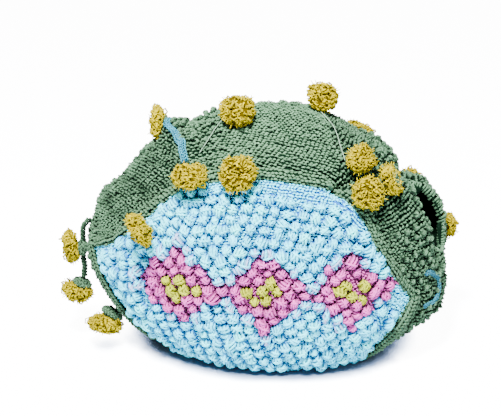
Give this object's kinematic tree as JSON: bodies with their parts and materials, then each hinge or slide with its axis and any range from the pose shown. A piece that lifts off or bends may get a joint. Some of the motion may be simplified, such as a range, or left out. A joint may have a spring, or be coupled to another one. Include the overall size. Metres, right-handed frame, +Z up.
{
  "type": "tea cosy",
  "caption": "Hollow knitted tea cosy shaped like a pointed dome, with a bobble-knit front, a plain knitted cover, a spout opening and looped yarn tufts.",
  "frame": {"origin": "on the floor plane, under the middle of the whole object", "axes": "+X towards the spout opening, +Y towards the plain back panel, +Z up"},
  "size_m": [0.3248, 0.1702, 0.2132],
  "materials": {
    "blue_yarn": "matte",
    "green_yarn": "matte",
    "mustard_yarn": "matte",
    "light_blue_yarn": "matte"
  },
  "bodies": {
    "root": {"back_panel": "green_yarn", "corner_cord": "light_blue_yarn", "crown": "green_yarn", "cup_hanging": "green_yarn", "cup_low": "green_yarn", "cup_peak": "green_yarn", "cup_spout": "green_yarn", "cup_tip": "green_yarn", "fold_cord": "light_blue_yarn", "front_panel": "blue_yarn", "left_end": "green_yarn", "spout_end": "green_yarn", "stalk_bowed": "green_yarn", "stalk_hanging": "green_yarn", "tuft_crown_left": "mustard_yarn", "tuft_crown_right": "mustard_yarn", "tuft_hanging": "mustard_yarn", "tuft_left_panel": "mustard_yarn", "tuft_low": "mustard_yarn", "tuft_peak": "mustard_yarn", "tuft_pleat_left": "mustard_yarn", "tuft_pleat_right": "mustard_yarn", "tuft_rim": "mustard_yarn", "tuft_seam": "mustard_yarn", "tuft_shoulder_back": "mustard_yarn", "tuft_shoulder_front": "mustard_yarn", "tuft_spout": "mustard_yarn", "tuft_spout_back": "mustard_yarn", "tuft_tip": "mustard_yarn"}
  },
  "joints": []
}
